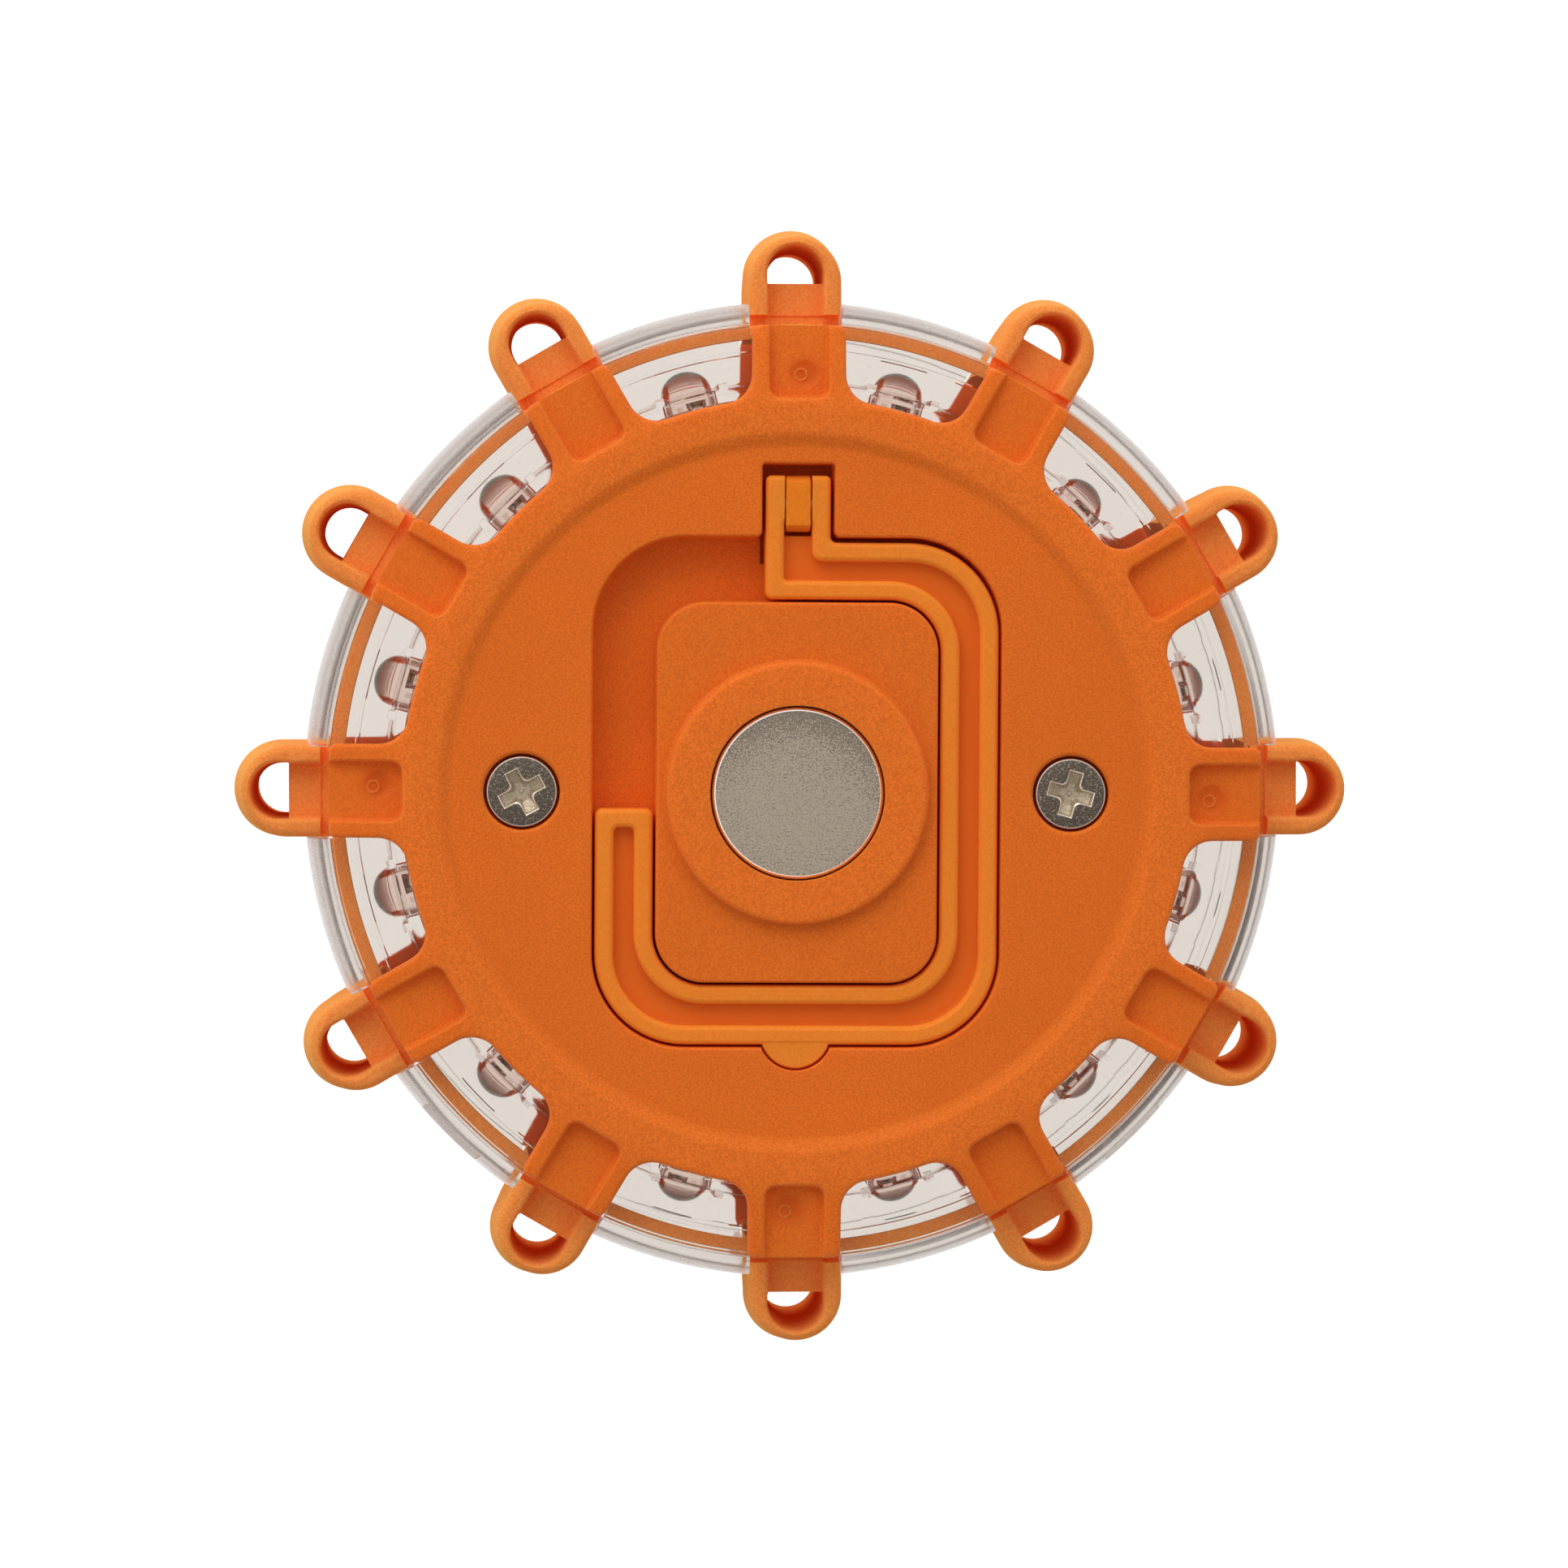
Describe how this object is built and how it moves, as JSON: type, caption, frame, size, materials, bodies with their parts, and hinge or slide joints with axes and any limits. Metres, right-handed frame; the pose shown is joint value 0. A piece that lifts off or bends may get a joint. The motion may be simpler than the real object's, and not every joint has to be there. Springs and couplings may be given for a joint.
{
  "type": "led safety flare",
  "caption": "Round puck-shaped LED road flare with clear side windows, hanging loops around its rim, a magnet and a flip-out hook on the back and a push button on the front.",
  "frame": {"origin": "centre of the puck on the plane that the front cover's rim rests on", "axes": "+Z out of the back (magnet) side, +Y from the centre to the hook's hinge, +X to the right seen from the back"},
  "size_m": [0.1096, 0.1096, 0.033],
  "materials": {
    "orange_plastic": "satin injection-moulded safety-orange plastic with a fine texture",
    "orange_hook": "satin moulded plastic, slightly brighter and smoother than the housing",
    "clear_lens": "clear polished polycarbonate",
    "led_clear": "water-clear epoxy with tinned leads",
    "magnet_nickel": "dull nickel plating over a sintered magnet, brighter at the rim",
    "screw_steel": "dark nickel-plated steel",
    "contact_steel": "bright plated spring steel",
    "black_rubber": "matte moulded rubber",
    "black_plastic": "matte moulded plastic",
    "switch_case": "stamped plated cover",
    "board_green": "solder-masked glass-epoxy board",
    "cell_jacket": "plain shrink-sleeved steel can"
  },
  "bodies": {
    "housing": {"back_cover": "orange_plastic", "front_cover": "orange_plastic", "loop_ring": "orange_plastic", "hook_pin": "contact_steel", "magnet": "magnet_nickel", "cover_screw_left": "screw_steel", "cover_screw_right": "screw_steel", "lens_back": "clear_lens", "lens_front": "clear_lens", "cover_gasket": "black_rubber", "switch_body": "switch_case", "circuit_board": "board_green", "board_screw_1": "screw_steel", "board_screw_2": "screw_steel", "battery_tray": "black_plastic", "battery_cell_1": "cell_jacket", "battery_cell_2": "cell_jacket", "battery_cell_3": "cell_jacket", "contact_spring_1": "contact_steel", "contact_spring_2": "contact_steel", "contact_spring_3": "contact_steel", "contact_plate_1": "contact_steel", "contact_plate_2": "contact_steel", "contact_plate_3": "contact_steel", "led_01": "led_clear", "led_02": "led_clear", "led_03": "led_clear", "led_04": "led_clear", "led_05": "led_clear", "led_06": "led_clear", "led_07": "led_clear", "led_08": "led_clear", "led_09": "led_clear", "led_10": "led_clear", "led_11": "led_clear", "led_12": "led_clear"},
    "hook": {"hook": "orange_hook"},
    "button": {"power_button": "black_rubber", "switch_plunger": "black_plastic"}
  },
  "joints": [
    {"name": "hook_swing", "type": "hinge", "parent": "housing", "child": "hook", "pos_m": [0, 0.0278, 0.0294], "axis": [-1, 0, 0], "range_deg": [0, 115]},
    {"name": "button_press", "type": "slide", "parent": "housing", "child": "button", "axis": [0, 0, 1], "range_m": [0, 0.0008], "stiffness_N_per_m": 500}
  ]
}
